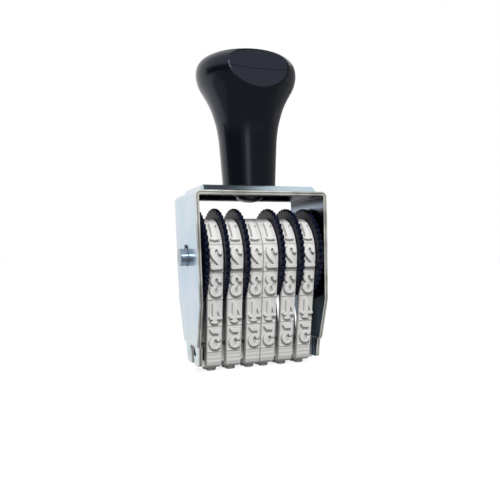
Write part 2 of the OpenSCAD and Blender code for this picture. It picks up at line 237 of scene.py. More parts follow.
def grain(tree, shader, spacing, strength, depth, **pattern):
    """Presses an uneven pattern into the surface. Spacing and depth are in millimetres.
    Real grain and tool marks are finer than 0.1 mm, and are drawn coarser so that they show."""
    relief = add_node(tree, "ShaderNodeBump", {
        "Height": unevenness(tree, spacing, **pattern), "Strength": strength,
        "Distance": depth * MM})
    tree.links.new(relief.outputs["Normal"], shader.inputs["Normal"])


def height_share(tree, low, high):
    """0 at the low height and 1 at the high one, both in millimetres."""
    place = add_node(tree, "ShaderNodeTexCoord").outputs["Object"]
    height = add_node(tree, "ShaderNodeSeparateXYZ", {"Vector": place}).outputs["Z"]
    return add_node(tree, "ShaderNodeMapRange", {
        "Value": height, "From Min": low * MM, "From Max": high * MM}).outputs["Result"]


def colour_film(tree, shader, base, film):
    """Base colour of the shader from a colour and what a film or wear makes of it."""
    both = add_node(tree, "ShaderNodeVectorMath", {
        0: base.outputs["Color"], 1: film.outputs["Color"]}, operation="MULTIPLY")
    tree.links.new(both.outputs["Vector"], shader.inputs["Base Color"])


def rolling_lines(tree, shader):
    """Rolling lines of the sheet, which run from leg to leg."""
    grain(tree, shader, 0.25, 0.05, 0.02, stretch=(0.08, 1, 0.08))


def zinc_plate():
    """Steel sheet, zinc plated and blue passivated: bright, faintly blue and pink."""
    mat, tree, shader = new_material("zinc_plated_steel", Metallic=1.0, Roughness=0.2)
    if tree:
        c = colours()
        zinc = add_node(tree, "ShaderNodeValToRGB", {"Fac": unevenness(tree, 6.25, 1.0)}, [
            (0.35, rgba(c.zinc)), (0.65, rgba(c.zinc_warm))])
        # Pale near the top, bluish and a little darker in the middle, and warmer and a little darker
        # towards the bottom
        film = add_node(tree, "ShaderNodeValToRGB", {"Fac": height_share(tree, 2, 34)}, [
            (0.1, tint("#E7E6DF")), (0.5, tint("#E5E6EF")), (0.95, tint("#FFFFFF"))])
        colour_film(tree, shader, zinc, film)
        rolling_lines(tree, shader)
    return mat


def zinc_inside():
    """Inner side of the plated sheet: painted dark shade, a paler painted reflection above the discs,
    and less dark painted shade near the leg ends.
    """
    mat, tree, shader = new_material("zinc_plated_inside", Metallic=1.0, Roughness=0.25)
    if tree:
        c = colours()
        height = height_share(tree, 6, FRAME_H)
        # Painted light by height: less dark shade low down, dark shade, a paler reflection band, then
        # dark shade under the top
        inner_shade_ramp = add_node(tree, "ShaderNodeValToRGB", {"Fac": height}, [
            (0.15, rgba(c.inside_shade_low)), (0.4, rgba(c.inside_shade)), (0.87, rgba(c.inside_shade)),
            (0.905, rgba(c.inside)), (0.94, rgba(c.inside_shade))])
        tree.links.new(inner_shade_ramp.outputs["Color"], shader.inputs["Base Color"])
        rolling_lines(tree, shader)
    return mat


def sheared_edge():
    """Cut edge of the plated sheet: a bright sheared band over a grey torn one."""
    mat, tree, shader = new_material("sheared_steel", Metallic=0.2, Roughness=0.5)
    if tree:
        c = colours().sheared
        across = add_node(tree, "ShaderNodeUVMap", uv_map="edge").outputs["UV"]
        split = add_node(tree, "ShaderNodeSeparateXYZ", {"Vector": across})
        band = add_node(tree, "ShaderNodeValToRGB", {"Fac": split.outputs["Y"]}, [
            (0.26, rgba(c, 1.38)), (0.4, rgba(c, 0.36)), (0.55, rgba(c, 0.42)),
            (0.72, rgba(c, 1.08))])
        # Handling marks, 4 mm apart, leave the edge uneven
        wear = add_node(tree, "ShaderNodeValToRGB", {"Fac": unevenness(tree, 3.85, 1.5)}, [
            (0.36, tint("#C4C4C4")), (0.52, tint("#EBEBEB")), (0.66, tint("#FBFDFF"))])
        colour_film(tree, shader, band, wear)
        # Tearing marks across the edge
        grain(tree, shader, 0.154, 0.35, 0.05, detail=3.0)
    return mat


def dull_zinc():
    """Zinc-plated steel bar left dull from the bath: grey, a little uneven."""
    mat, tree, shader = new_material("dull_zinc_steel", Metallic=1.0, Roughness=0.34)
    if tree:
        grey = colours().sheared
        clouds = add_node(tree, "ShaderNodeValToRGB", {"Fac": unevenness(tree, 3.33)}, [
            (0.3, rgba(grey, 0.8)), (0.7, rgba(grey, 1.2))])
        tree.links.new(clouds.outputs["Color"], shader.inputs["Base Color"])
    return mat


def drawn_steel():
    """Drawn steel rod and turned washers: satin, with fine turning marks."""
    mat, tree, shader = new_material("drawn_steel", Metallic=0.85, Roughness=0.22)
    if tree:
        shader.inputs["Base Color"].default_value = rgba(colours().steel)
        grain(tree, shader, 0.2, 0.1, 0.02)
    return mat


def dark_shade_steel():
    """Nearly black steel with a dull shine, which paints shade on the clip tips, the tab ends in the
    slots and the screw and washer under the top.
    """
    mat, tree, shader = new_material("dark_shade_spring_steel", Metallic=1.0, Roughness=0.35)
    if tree:
        shader.inputs["Base Color"].default_value = rgba(colours().dark_shade)
    return mat


def polished_plastic():
    """Polished black phenolic or ABS: deep black with a bluish gloss."""
    mat, tree, shader = new_material(
        "polished_black_plastic", Roughness=0.2, Specular_Tint=tint("#D8E5FF"))
    if tree:
        shader.inputs["Base Color"].default_value = rgba(colours().handle)
    return mat


def moulded_plastic():
    """Moulded black plastic: satin and bluish, with the fine grain of its mould."""
    mat, tree, shader = new_material(
        "moulded_black_plastic", Roughness=0.42, Specular_IOR_Level=0.18,
        Specular_Tint=tint("#E5ECFF"))
    if tree:
        shader.inputs["Base Color"].default_value = rgba(colours().wheel)
        grain(tree, shader, 0.111, 0.15, 0.01)
    return mat


def band_rubber():
    """Moulded pale rubber: matt. Painted shade darkens the band between the digits a little, and the
    digits' sides more.
    """
    mat, tree, shader = new_material("moulded_grey_rubber", Roughness=0.62)
    if tree:
        c = colours()
        level = add_node(tree, "ShaderNodeAttribute", attribute_name="relief").outputs["Fac"]
        # The ramp paints shade: the digits' tops keep the rubber colour, the band between them the
        # shade colour, their sides down to 0.7 of it
        painted_shade = add_node(tree, "ShaderNodeValToRGB", {"Fac": level}, [
            (0.1, rgba(c.rubber_shade)), (0.28, rgba(c.rubber_shade, 0.7)),
            (0.85, rgba(c.rubber_shade, 0.78)), (0.97, rgba(c.rubber))])
        tree.links.new(painted_shade.outputs["Color"], shader.inputs["Base Color"])
        grain(tree, shader, 0.2, 0.2, 0.02, detail=3.0)
    return mat


def seen_ray(tree):
    """1 for rays from the camera, from metal and from glass, 0 for the others."""
    path = add_node(tree, "ShaderNodeLightPath").outputs
    both = add_node(tree, "ShaderNodeMath", {0: path["Is Camera Ray"], 1: path["Is Glossy Ray"]},
                    operation="MAXIMUM")
    return add_node(tree, "ShaderNodeMath", {
        0: both.outputs[0], 1: path["Is Transmission Ray"]}, operation="MAXIMUM").outputs[0]


def studio_paper():
    """White studio paper that shows as white and still takes the object's shadow."""
    mat, tree, shader = new_material("studio_paper", Roughness=0.9, Specular_IOR_Level=0.0)
    if tree:
        shader.inputs["Base Color"].default_value = rgba(colours().floor)
        place = add_node(tree, "ShaderNodeTexCoord").outputs["Object"]
        away = add_node(tree, "ShaderNodeVectorMath", {0: place}, operation="LENGTH")
        fade = add_node(tree, "ShaderNodeMapRange", {
            "Value": away.outputs["Value"], "From Min": 0.15, "From Max": 0.7,
            "To Min": 0.84, "To Max": 0.94}, interpolation_type="SMOOTHSTEP")
        lift = add_node(tree, "ShaderNodeMath", {
            0: seen_ray(tree), 1: fade.outputs["Result"]}, operation="MULTIPLY")
        shader.inputs["Emission Color"].default_value = tint("#FFFFFF")
        tree.links.new(lift.outputs[0], shader.inputs["Emission Strength"])
    return mat


# ------ helpers ------


def place_piece(mesh, materials, body, nodes):
    """Makes a mesh a piece that rides on a CAD body and stands for its nodes."""
    for mat in materials:
        mesh.materials.append(mat)
    piece = bpy.data.objects.new(mesh.name, mesh)
    bpy.context.scene.collection.objects.link(piece)
    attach(piece, body)
    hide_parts(*nodes)
    return piece


def finish_piece(name, bm, materials, body, nodes, sharp=35):
    """Scales a bmesh to metres and makes it a piece. Edges over sharp degrees stay sharp."""
    bmesh.ops.remove_doubles(bm, verts=bm.verts, dist=1e-5)
    bmesh.ops.recalc_face_normals(bm, faces=bm.faces)
    bm.transform(Matrix.Scale(MM, 4))
    mesh = bpy.data.meshes.new(name)
    bm.to_mesh(mesh)
    bm.free()
    for polygon in mesh.polygons:
        polygon.use_smooth = True
    mesh.set_sharp_from_angle(angle=math.radians(sharp))
    return place_piece(mesh, materials, body, nodes)


def rounded_edges(piece, width, segments=3, angle=50):
    """Adds a live bevel to the piece's sharp edges. Width is in millimetres."""
    bevel = piece.modifiers.new("Edges", "BEVEL")
    bevel.width = width * MM
    bevel.segments = segments
    bevel.limit_method = "ANGLE"
    bevel.angle_limit = math.radians(angle)
    bevel.use_clamp_overlap = False
    bevel.harden_normals = True


def rolled(points):
    """The same points, each one place earlier, so that pairs go round a loop."""
    return points[1:] + points[:1]


def loop_edges(bm, points):
    verts = [bm.verts.new(point) for point in points]
    return [bm.edges.new(pair) for pair in zip(verts, rolled(verts))]


def lathe(bm, profile, axis, steps=4, sectors=16, closed=False):
    """Spins (radius, height) points round Z or round the axle, X, through one sector, and
    repeats the sector all round. A closed profile joins its last point to its first."""
    if axis == "Z":
        verts = [bm.verts.new((r, 0, h)) for r, h in profile]
        centre, line = (0, 0, 0), (0, 0, 1)
    else:
        verts = [bm.verts.new((h, r, AXLE_Z)) for r, h in profile]
        centre, line = (0, 0, AXLE_Z), (1, 0, 0)
    edges = [bm.edges.new(pair) for pair in zip(verts, rolled(verts) if closed else verts[1:])]
    sector = 2 * math.pi / sectors
    bmesh.ops.spin(bm, geom=verts + edges, cent=centre, axis=line, angle=sector, steps=steps)
    bmesh.ops.spin(bm, geom=bm.verts[:] + bm.edges[:] + bm.faces[:], cent=centre, axis=line,
                   angle=2 * math.pi - sector, steps=sectors - 1, use_duplicate=True)
    bmesh.ops.remove_doubles(bm, verts=bm.verts, dist=1e-3)


def thicken(bm, faces, run):
    """Makes a solid of flat faces by extruding them along run."""
    edges = {e for face in faces for e in face.edges}
    made = bmesh.ops.extrude_face_region(bm, geom=faces + list(edges), use_keep_orig=True)
    verts = [v for v in made["geom"] if isinstance(v, bmesh.types.BMVert)]
    bmesh.ops.translate(bm, vec=run, verts=verts)


def smooth_step(a, b, x):
    t = min(max((x - a) / (b - a), 0.0), 1.0)
    return t * t * (3 - 2 * t)


def rounded_profile(points, radius, steps=4):
    """Rounds the corners of an open polyline of (radius, height) points."""
    out = [points[0]]
    for before, here, after in zip(points, points[1:], points[2:]):
        p, a, b = Vector(here), Vector(before), Vector(after)
        to_a, to_b = a - p, b - p
        cut = min(radius, to_a.length * 0.45, to_b.length * 0.45)
        start, end = p + to_a.normalized() * cut, p + to_b.normalized() * cut
        for k in range(steps + 1):
            t = k / steps
            out.append(tuple((1 - t) ** 2 * start + 2 * t * (1 - t) * p + t * t * end))
    out.append(points[-1])
    return out


# ------ frame ------


FLAT_X = LEG_X - OUTER_BEND
BEND_LEN = (OUTER_BEND - SHEET_T / 2) * math.pi / 2


def leg_half_depth(z):
    """Half of a leg's depth at height z."""
    stops = [(LEG_END_Z, LEG_END_HALF), (JOGGLE_Z, JOGGLE_HALF), (TAPER_Z, FRAME_D / 2)]
    for (z0, d0), (z1, d1) in zip(stops, stops[1:]):
        if z <= z1:
            return d0 + (d1 - d0) * (z - z0) / (z1 - z0)
    return FRAME_D / 2


def pattern_u(z):
    """Place along the flat pattern of a point at height z on a leg."""
    return FLAT_X + BEND_LEN + (FRAME_H - OUTER_BEND - z)


def panel_height(x, y, inset):
    """Height of the pressed panel at a point of the top. Its slopes end softly."""
    ends = smooth_step(-0.05, 1.03, (PANEL_X - inset - abs(x)) / PANEL_END_RUN)
    front = smooth_step(-0.12, 1.04, (PANEL_Y - inset - abs(y)) / PANEL_FRONT_RUN)
    return PANEL_RISE * ends * front


def fold(u, y, depth):
    """Point of the folded sheet for a point of its flat pattern."""
    side = -1 if u < 0 else 1
    u = abs(u)
    if u <= FLAT_X:
        lift = panel_height(u, y, 0.35 * depth / SHEET_T)
        return side * u, y, FRAME_H - depth + lift
    if u <= FLAT_X + BEND_LEN:
        a = (u - FLAT_X) / BEND_LEN * math.pi / 2
        r = OUTER_BEND - depth
        return side * (FLAT_X + r * math.sin(a)), y, FRAME_H - OUTER_BEND + r * math.cos(a)
    z = FRAME_H - OUTER_BEND - (u - FLAT_X - BEND_LEN)
    joggle = JOGGLE_IN * (1 - smooth_step(
        JOGGLE_Z - JOGGLE_RUN / 2, JOGGLE_Z + JOGGLE_RUN / 2, z))
    return side * (LEG_X - depth - joggle), y, z


def leg_end_outline():
    """Right-hand end of the flat pattern, from +Y to -Y, with its slot."""
    corner, slot_half, slot_top, slot_chamfer = 0.9, 1.2, 5.13, 0.25
    pts = [(pattern_u(z), leg_half_depth(z)) for z in (TAPER_Z, JOGGLE_Z)]
    end_y = leg_half_depth(LEG_END_Z + corner) - 0.02
    for k in range(9):
        a = math.pi / 2 * k / 8
        pts.append((pattern_u(LEG_END_Z + corner - corner * math.sin(a)),
                    end_y - corner + corner * math.cos(a)))
    pts.append((pattern_u(LEG_END_Z), slot_half + slot_chamfer))
    pts.append((pattern_u(LEG_END_Z + slot_chamfer), slot_half))
    pts.append((pattern_u(slot_top), slot_half))
    return pts + [(u, -y) for u, y in reversed(pts)]


def cut_pattern(bm, value, axis, near=None):
    """Cuts the flat pattern along a line of constant u or y."""
    normal = (1, 0, 0) if axis == "u" else (0, 1, 0)
    point = (value, 0, 0) if axis == "u" else (0, value, 0)
    faces = [f for f in bm.faces if near is None or abs(f.calc_center_median().x) < near]
    edges = {e for f in faces for e in f.edges}
    verts = {v for f in faces for v in f.verts}
    bmesh.ops.bisect_plane(bm, geom=list(verts) + list(edges) + faces, dist=1e-5,
                           plane_co=point, plane_no=normal)


def flat_pattern(bm):
    """Outline of the flat sheet with its axle holes, filled. A collar of short faces
    round each hole keeps the shading of the leg even."""
    end = leg_end_outline()
    edges = loop_edges(bm, [(u, y, 0) for u, y in end] + [(-u, y, 0) for u, y in reversed(end)])
    collars = []
    for side in (-1, 1):
        hole, collar = (loop_edges(bm, [
            (side * pattern_u(AXLE_Z) + r * math.cos(a), r * math.sin(a), 0)
            for a in (2 * math.pi * k / 48 for k in range(48))]) for r in (BORE_R, 2.1))
        edges += collar
        collars.append(hole + collar)
    bmesh.ops.triangle_fill(bm, use_beauty=True, edges=edges, normal=(0, 0, 1))
    for rings in collars:
        bmesh.ops.bridge_loops(bm, edges=rings)
    bmesh.ops.recalc_face_normals(bm, faces=bm.faces)
    if sum(f.normal.z for f in bm.faces) < 0:
        bmesh.ops.reverse_faces(bm, faces=bm.faces)


def cut_for_forming(bm):
    """Lines across the flat pattern, so that its bends, steps and slopes come out round."""
    for side in (-1, 1):
        for k in range(13):
            cut_pattern(bm, side * (FLAT_X + BEND_LEN * k / 12), "u")
        for k in range(9):
            z = JOGGLE_Z - JOGGLE_RUN / 2 + JOGGLE_RUN * k / 8
            cut_pattern(bm, side * pattern_u(z), "u")
        for k in range(18):
            cut_pattern(bm, side * (PANEL_X - 1.35 + 0.08 * k), "u")
        for k in range(14):
            cut_pattern(bm, side * (PANEL_Y - 1.15 + 0.1 * k), "y", FLAT_X)
        for k in range(1, 6):
            cut_pattern(bm, side * 2.0 * k, "u")
            cut_pattern(bm, side * 1.15 * k, "y", FLAT_X)


def build_frame():
    """Cuts the sheet flat, gives it its thickness and then folds it."""
    bm = bmesh.new()
    flat_pattern(bm)
    cut_for_forming(bm)
    uv = bm.loops.layers.uv.new("edge")
    thicken(bm, bm.faces[:], (0, 0, -SHEET_T))
    for face in bm.faces:
        deep = [v.co.z < -SHEET_T / 2 for v in face.verts]
        face.material_index = 2 if all(deep) else int(any(deep))
        if face.material_index == 1:
            for loop, under in zip(face.loops, deep):
                loop[uv].uv = (0.5, float(under))
    for v in bm.verts:
        v.co = fold(v.co.x, v.co.y, -v.co.z)
    piece = finish_piece("frame_sheet", bm, [zinc_plate(), sheared_edge(), zinc_inside()], BODY,
                         ["frame"], sharp=40)
    rounded_edges(piece, sizes().edge_round / MM, 2, 55)


# ------ bridge ------


def add_box(bm, low, high):
    made = bmesh.ops.create_cube(bm, size=1.0)
    centre = (Vector(low) + Vector(high)) / 2
    size = Vector(high) - Vector(low)
    bmesh.ops.transform(bm, verts=made["verts"], matrix=Matrix.Translation(
        centre) @ Matrix.Diagonal((*size, 1)))


def channel_section(bed, top, half_y):
    """U section of the bridge as (y, z) points, its lower corners round."""
    corner = 0.5
    bend = [(half_y - corner + corner * math.sin(a), bed + corner - corner * math.cos(a))
            for a in (math.pi / 2 * k / 6 for k in range(7))]
    wall_y, floor_z = half_y - SHEET_T, bed + SHEET_T
    return [(-y, z) for y, z in reversed(bend)] + bend + [
        (half_y, top), (wall_y, top), (wall_y, floor_z),
        (-wall_y, floor_z), (-wall_y, top), (-half_y, top)]


def build_bridge():
    bm = bmesh.new()
    bed, top, half_y, end_x, tab_end = 1.88, 5.3, 2.75, 12.52, 13.2
    left, right = ([bm.verts.new((x, y, z)) for y, z in channel_section(bed, top, half_y)]
                   for x in (-end_x, end_x))
    for corners in (*zip(left, rolled(left), rolled(right), right), left, right):
        bm.faces.new(corners)
    cheek = (11.53, end_x, half_y, 1.1, top)
    tab = (end_x - 0.4, tab_end, 1.15, bed, 5.07)
    for side in (-1, 1):
        for x0, x1, half, z0, z1 in (cheek, tab):
            add_box(bm, (min(side * x0, side * x1), -half, z0),
                    (max(side * x0, side * x1), half, z1))
    # The ends of the tabs are painted dark, as shade in the slots they stand in
    for face in bm.faces:
        face.material_index = int(abs(face.calc_center_median().x) > tab_end - 0.2)
    piece = finish_piece("bridge_bar", bm, [dull_zinc(), dark_shade_steel()], BODY, ["bridge"])
    rounded_edges(piece, 0.08, 2)


# ------ axle and clips ------


def build_axle():
    bm = bmesh.new()
    half = [(0.0, AXLE_END), (AXLE_R - 0.02, AXLE_END), (AXLE_R, AXLE_END - 0.25),
            (AXLE_R, GROOVE[1]), (GROOVE_R, GROOVE[1]), (GROOVE_R, GROOVE[0]),
            (AXLE_R, GROOVE[0]), (AXLE_R, 0.0)]
    half = half[:1] + rounded_profile(half[:4], 0.12)[1:-1] + half[3:]
    profile = half + [(r, -h) for r, h in reversed(half[:-1])]
    lathe(bm, profile, "X")
    finish_piece("axle_rod", bm, [drawn_steel()], BODY, ["axle"])


def clip_outline():
    """Open ring with a tip on top, its mouth downwards, as (y, z) points."""
    outer, inner, mouth, tip, tip_half_angle = 1.9, GROOVE_R + 0.03, 1.1, 2.55, 19
    pts = []
    a0 = math.asin(mouth / outer)
    for k in range(65):
        a = -math.pi / 2 + a0 + (2 * math.pi - 2 * a0) * k / 64
        off_top = abs(math.degrees(a) - 90)
        rise = outer + (tip - outer) * max(0.0, 1 - off_top / tip_half_angle)
        pts.append((rise * math.cos(a), rise * math.sin(a)))
    b0 = math.asin(mouth / inner)
    for k in range(49):
        a = -math.pi / 2 - b0 - (2 * math.pi - 2 * b0) * k / 48
        pts.append((inner * math.cos(a), inner * math.sin(a)))
    return pts


def build_clips():
    gap, tip_foot = 0.04, 1.87
    inner, outer = GROOVE[0] + gap, GROOVE[1] - gap
    for name, side in (("clip_left", -1), ("clip_right", 1)):
        bm = bmesh.new()
        edges = loop_edges(bm, [(side * inner, y, z + AXLE_Z) for y, z in clip_outline()])
        bmesh.ops.triangle_fill(bm, use_beauty=True, edges=edges)
        thicken(bm, bm.faces[:], (side * (outer - inner), 0, 0))
        # The tip is painted dark as shade, the ring round the axle bright
        for face in bm.faces:
            face.material_index = int(face.calc_center_median().z > AXLE_Z + tip_foot)
        piece = finish_piece(name + "_ring", bm, [drawn_steel(), dark_shade_steel()], BODY, [name])
        rounded_edges(piece, 0.05, 2)


def build_spacers():
    radius, start, thick, edge = 3.5, 12.39, 0.5, 0.05
    section = [(BORE_R, start), (radius - edge, start), (radius, start + edge),
               (radius, start + thick - edge), (radius - edge, start + thick),
               (BORE_R, start + thick)]
    for name, side in (("spacer_left", -1), ("spacer_right", 1)):
        bm = bmesh.new()
        lathe(bm, [(r, side * x) for r, x in section], "X", closed=True)
        finish_piece(name + "_ring", bm, [drawn_steel()], BODY, [name])


# ------ wheels ------


def wheel_start(i):
    """Inner end of wheel i, and its side: -1 left, 1 right."""
    step, side = (3 - i, -1) if i <= 3 else (i - 4, 1)
    return SIDE_GAP / 2 + step * WHEEL_PITCH, side


def wheel_profile():
    """Bore, drum and disc of a wheel whose inner end is at 0, as (radius, height)."""
    disc = BAND_W + SIDE_GAP
    rim = [(TOOTH_START, 0), (DISC_R - 1.1, 0), (TOOTH_FULL, 0), (DISC_R - 0.14, 0),
           (DISC_R - 0.04, 0.05), (DISC_R, 0.16)]
    return ([(BORE_R, 0), (DRUM_R - 0.1, 0), (DRUM_R, 0.1), (DRUM_R, disc)]
            + [(r, disc + h) for r, h in rim]
            + [(r, disc + DISC_T - h) for r, h in reversed(rim)] + [(BORE_R, disc + DISC_T)])


def knurl(bm, teeth, depth):
    """Draws the rim in between its teeth, more and more from TOOTH_START to TOOTH_FULL."""
    for v in bm.verts:
        y, z = v.co.y, v.co.z - AXLE_Z
        r, angle = math.hypot(y, z), math.atan2(z, y)
        wave = abs(math.sin(teeth * angle / 2))
        share = depth / r * smooth_step(TOOTH_START, TOOTH_FULL, r) * (1 - wave ** 0.9)
        v.co -= share * Vector((0, y, z))


def build_wheels():
    """Makes one moulding and puts six copies of it on the axle, three of them mirrored."""
    teeth = sizes().rim_teeth
    moulding = bmesh.new()
    lathe(moulding, wheel_profile(), "X", 10, teeth, closed=True)
    knurl(moulding, teeth, sizes().tooth_depth / MM)
    for i in range(1, 7):
        x0, side = wheel_start(i)
        bm = moulding.copy()
        bmesh.ops.translate(bm, vec=(x0, 0, 0), verts=bm.verts)
        bmesh.ops.scale(bm, vec=(side, 1, 1), verts=bm.verts)
        finish_piece("wheel_%d_moulding" % i, bm, [moulded_plastic()], "setting_wheel_%d" % i,
                     ["wheel_%d" % i], sharp=50)
    moulding.free()


# ------ bands ------


# The band's way round its loop: flat at the bottom, a corner, a straight strand that
# leans out by LEAN, and round the drum. Places along it count from the middle of the flat.
RISE = AXLE_Z - CORNER_Z
REACH = math.hypot(FLAT_Y, RISE)
LEAN = math.asin((BASE_R - CORNER_R) / REACH) - math.atan(FLAT_Y / RISE)
STRAND = math.sqrt(REACH ** 2 - (BASE_R - CORNER_R) ** 2)
CORNER_LEN = CORNER_R * (math.pi / 2 - LEAN)
HALF_LOOP = FLAT_Y + CORNER_LEN + STRAND + BASE_R * (math.pi / 2 + LEAN)


def band_place(s):
    """Point and outward normal (y, z) of the plain band's outside at s."""
    side = 1 if s >= 0 else -1
    s = abs(s)
    if s <= FLAT_Y:
        return side * -s, RELIEF, 0.0, -1.0
    s -= FLAT_Y
    if s <= CORNER_LEN:
        a = s / CORNER_R
        y, z = -FLAT_Y - CORNER_R * math.sin(a), CORNER_Z - CORNER_R * math.cos(a)
        return side * y, z, side * -math.sin(a), -math.cos(a)
    s -= CORNER_LEN
    a = math.pi / 2 - LEAN
    if s <= STRAND:
        y = -FLAT_Y - CORNER_R * math.sin(a) - s * math.cos(a)
        z = CORNER_Z - CORNER_R * math.cos(a) + s * math.sin(a)
        return side * y, z, side * -math.sin(a), -math.cos(a)
    s -= STRAND
    a += s / BASE_R
    return (side * -BASE_R * math.sin(a), AXLE_Z - BASE_R * math.cos(a),
            side * -math.sin(a), -math.cos(a))


# Half widths of the digits' strokes
THICK, THIN = 0.46, 0.24


def bow(cx, cy, rx, ry, a0, sweep, steps=16):
    """Curved stroke as (x, y, half width), thick at its sides and thin on top."""
    points = []
    for k in range(steps + 1):
        a = math.radians(a0 + sweep * k / steps)
        points.append((cx + rx * math.cos(a), cy + ry * math.sin(a),
                       THIN + (THICK - THIN) * math.cos(a) ** 2))
    return points


def ball(x, y):
    return [(x, y, 0.36), (x, y + 0.01, 0.36)]


def digit_lines(n):
    """Strokes of an upright digit in a fat face, in millimetres."""
    foot = [(-0.72, -1.88, 0.2), (0.72, -1.88, 0.2)]
    if n == 0:
        return [bow(0, 0, 0.76, 1.86, 0, 360, 32)]
    if n == 1:
        return [[(0.05, -1.75, THICK), (0.05, 1.65, THICK)], foot,
                [(0.05, 1.85, THIN), (-0.7, 1.35, 0.2)]]
    if n == 2:
        return [bow(0, 0.98, 0.78, 0.88, 150, -170)
                + [(0.45, 0.1, 0.4), (-0.35, -0.85, 0.26), (-0.85, -1.6, 0.22)],
                [(-0.9, -1.74, 0.34), (0.88, -1.74, 0.34)], ball(-0.72, 1.02),
                [(0.98, -1.7, 0.22), (1.06, -1.0, 0.1)]]
    if n == 3:
        return [bow(0, 1.08, 0.72, 0.78, 150, -235), bow(0, -0.96, 0.78, 0.9, 80, -230),
                ball(-0.68, 1.1), ball(-0.74, -1.08)]
    if n == 4:
        return [[(0.22, -1.75, 0.44), (0.22, 1.7, 0.44)],
                [(-1.1, -1.02, 0.24), (1.04, -1.02, 0.24)],
                [(-0.06, 1.76, 0.2), (-1.12, -0.95, 0.2)], [(-0.28, -1.9, 0.2), (0.74, -1.9, 0.2)]]
    if n == 5:
        return [[(-0.82, 1.6, THIN), (-0.86, 0.2, THIN)],
                [(-0.7, 1.68, 0.42), (0.45, 1.68, 0.42), (0.95, 1.9, 0.16)],
                bow(0, -0.78, 0.78, 1.08, 140, -285), ball(-0.72, -1.15)]
    if n in (6, 9):
        turn = 1 if n == 6 else -1
        lines = [bow(0, -0.86, 0.76, 1.0, 0, 360, 24), bow(0.2, -0.1, 0.96, 1.96, 70, 120),
                 ball(0.68, 1.2)]
        return [[(turn * x, turn * y, w) for x, y, w in line] for line in lines]
    if n == 7:
        return [[(-0.9, 1.68, 0.4), (0.85, 1.68, 0.4)],
                [(0.85, 1.6, THIN), (-0.1, -0.1, 0.4), (-0.2, -1.62, 0.48)]]
    return [bow(0, 1.02, 0.66, 0.84, 0, 360, 24), bow(0, -0.92, 0.76, 0.94, 0, 360, 24)]


def line_distance(xs, ys, lines):
    """Distance of each point to the edge of the nearest stroke, less than 0 inside."""
    best = np.full(xs.shape, 1e9)
    for line in lines:
        for (ax, ay, aw), (bx, by, bw) in zip(line, line[1:]):
            dx, dy = bx - ax, by - ay
            t = np.clip(((xs - ax) * dx + (ys - ay) * dy) / max(dx * dx + dy * dy, 1e-9), 0, 1)
            away = np.hypot(xs - ax - t * dx, ys - ay - t * dy) - (aw + t * (bw - aw))
            best = np.minimum(best, away)
    return best


def soft_clip(low, high, values):
    t = np.clip((values - low) / (high - low), 0, 1)
    return t * t * (3 - 2 * t)


def band_cells():
    """Digit of each cell by its place along the loop, with the 6 at the bottom."""
    cells = {0.0: 6}
    for k in range(5):
        cells[BOTTOM_PITCH + k * DIGIT_PITCH] = 5 - k
    for k in range(4):
        cells[-BOTTOM_PITCH - k * DIGIT_PITCH] = (7 + k) % 10
    return cells


def band_relief(xs, ss):
    """Height of the band's outside above the plain band, on a grid of x and s."""
    wall = sizes().digit_wall / MM
    line_rise, rib_rise, rib_pitch, ribs_start = 0.16, 0.05, 0.85, 3.3
    height = np.zeros(xs.shape)
    for at, digit in band_cells().items():
        near = np.abs(ss - at) < DIGIT_PITCH / 2 + 0.3
        away = line_distance(-xs[near], (ss - at)[near], digit_lines(digit))
        height[near] = np.maximum(height[near], RELIEF * (1 - soft_clip(0, wall, away)))
    first_line = BOTTOM_PITCH - DIGIT_PITCH / 2
    for k in range(6):
        for side in (-1, 1):
            away = np.abs(ss - side * (first_line + k * DIGIT_PITCH))
            height = np.maximum(height, line_rise * (1 - soft_clip(0.06, 0.22, away)))
    along = np.abs(ss)
    ribbed = (along > ribs_start) & (along < first_line - 0.2)
    wave = 0.5 - 0.5 * np.cos(2 * np.pi * (along - ribs_start) / rib_pitch)
    return np.where(ribbed, np.maximum(height, rib_rise * wave), height)


def band_section(step):
    """Points round the plain band's section as (x, height, painted shade). The upper edges
    get the painted shade of a digit's sides."""
    half, edge = BAND_W / 2, 0.06
    face = half - 0.18
    count = round(2 * face / step)
    left = [(-half, -0.3, 0.28), (edge - half, -0.1, 0.2)]
    top = [(-face + 2 * face * k / count, 0.0, 0.0) for k in range(count + 1)]
    right = [(-x, h, painted_shade) for x, h, painted_shade in reversed(left)]
    under = [(half, edge - BAND_T, 0.0), (half - edge, -BAND_T, 0.0),
             (edge - half, -BAND_T, 0.0), (-half, edge - BAND_T, 0.0)]
    return left + top + right + under


